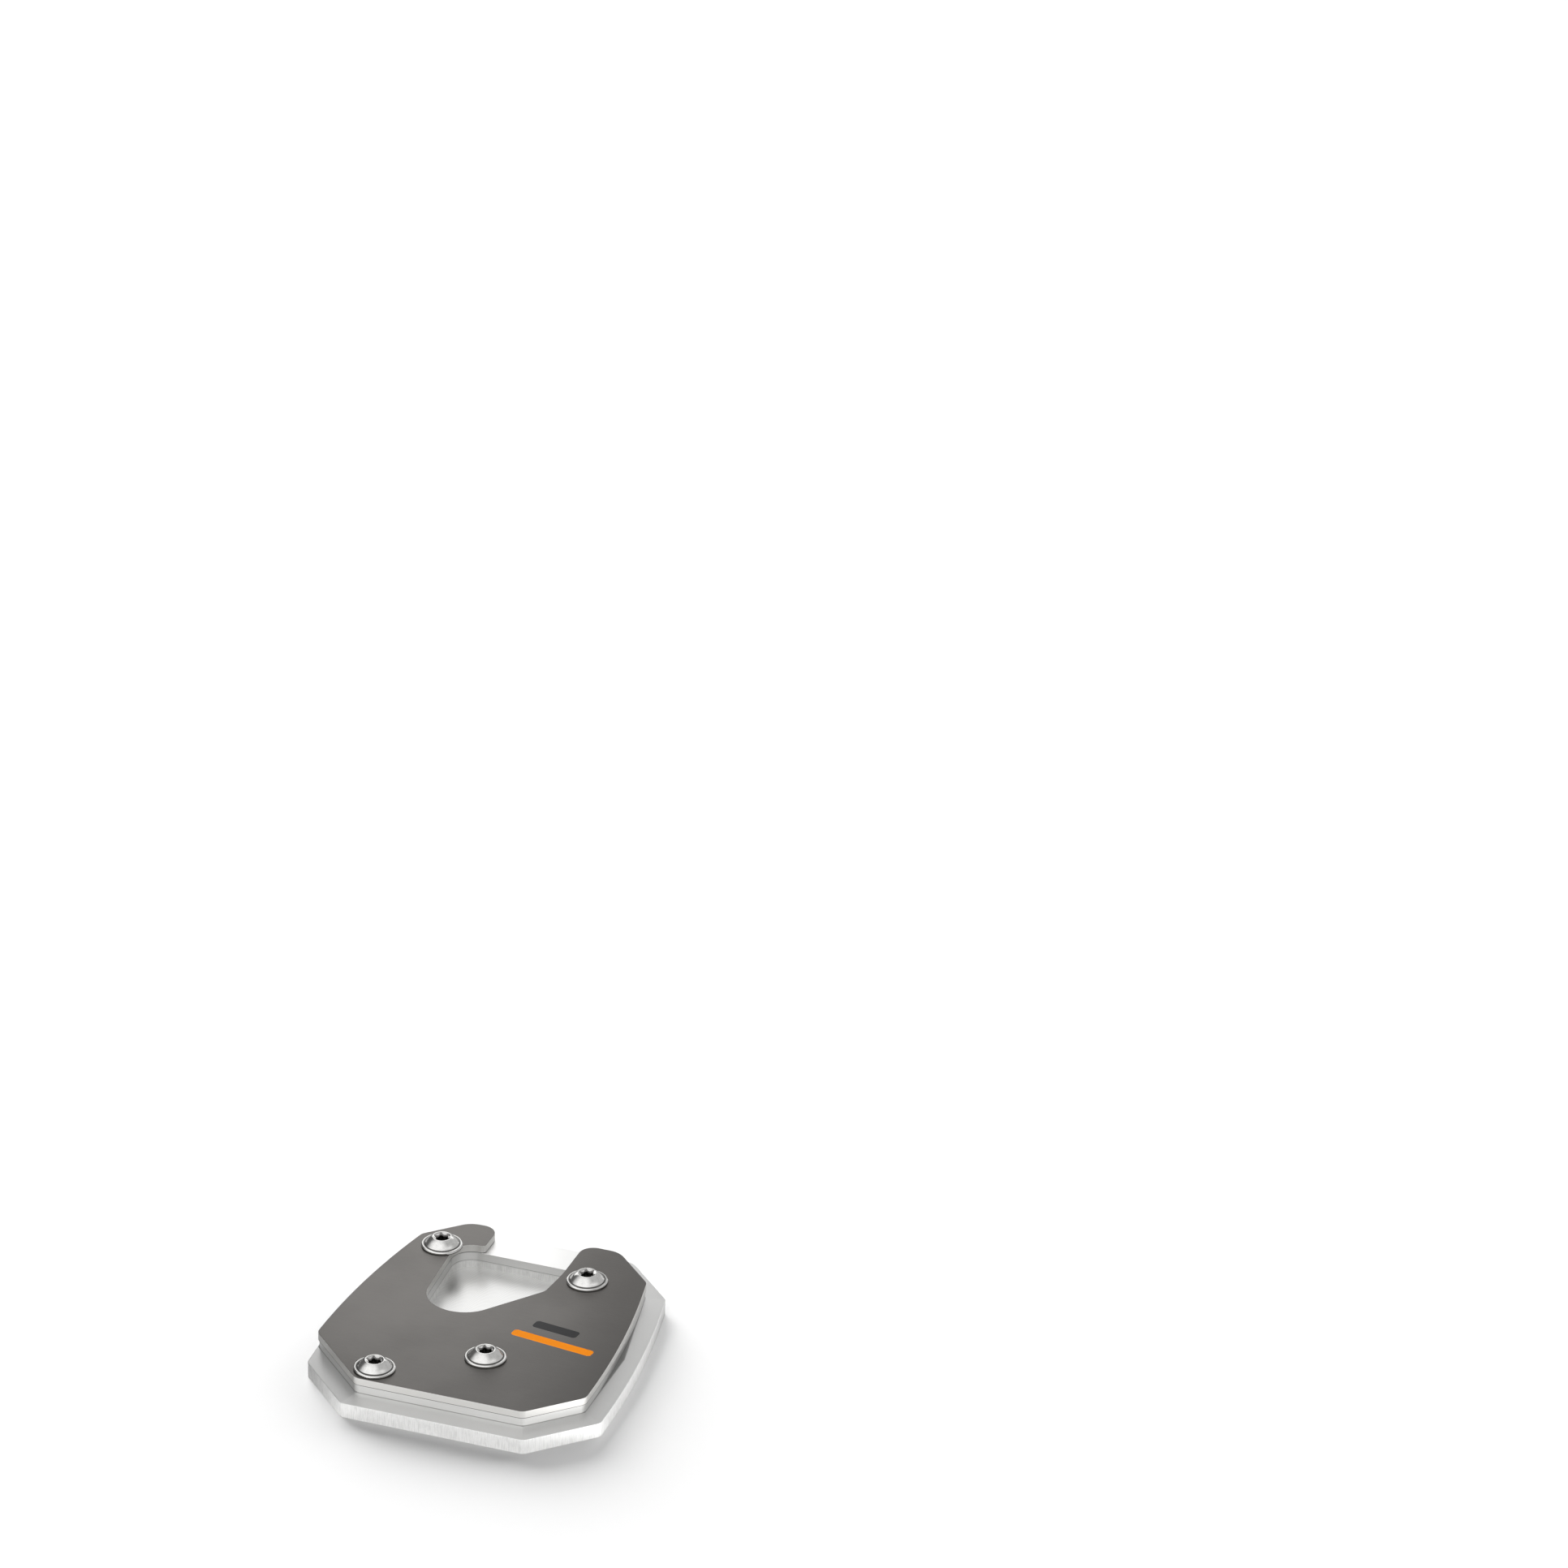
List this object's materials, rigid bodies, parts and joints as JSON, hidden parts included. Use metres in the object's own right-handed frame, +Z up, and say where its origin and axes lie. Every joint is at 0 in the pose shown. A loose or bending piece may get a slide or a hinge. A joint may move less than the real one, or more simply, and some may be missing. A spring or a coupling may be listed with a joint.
{
  "type": "kickstand foot enlarger",
  "caption": "Wide foot for a motorbike side stand: milled aluminium base with a foot pocket, steel plate that traps the foot, and flanged screws.",
  "frame": {"origin": "middle of the underside", "axes": "+Z up out of the base, +Y from the front edge towards the open throat of the cut-out, +X to the right seen from the front"},
  "size_m": [0.1014, 0.118, 0.0153],
  "materials": {
    "base": "bare, milled and satin blasted",
    "top_plate": "fine brushed, matt",
    "screws": "turned, semi-bright stainless"
  },
  "bodies": {
    "root": {"base": "base", "top_plate": "top_plate", "screw_front_left": "screws", "screw_front_middle": "screws", "screw_back_right": "screws", "screw_back_left": "screws"}
  },
  "joints": []
}
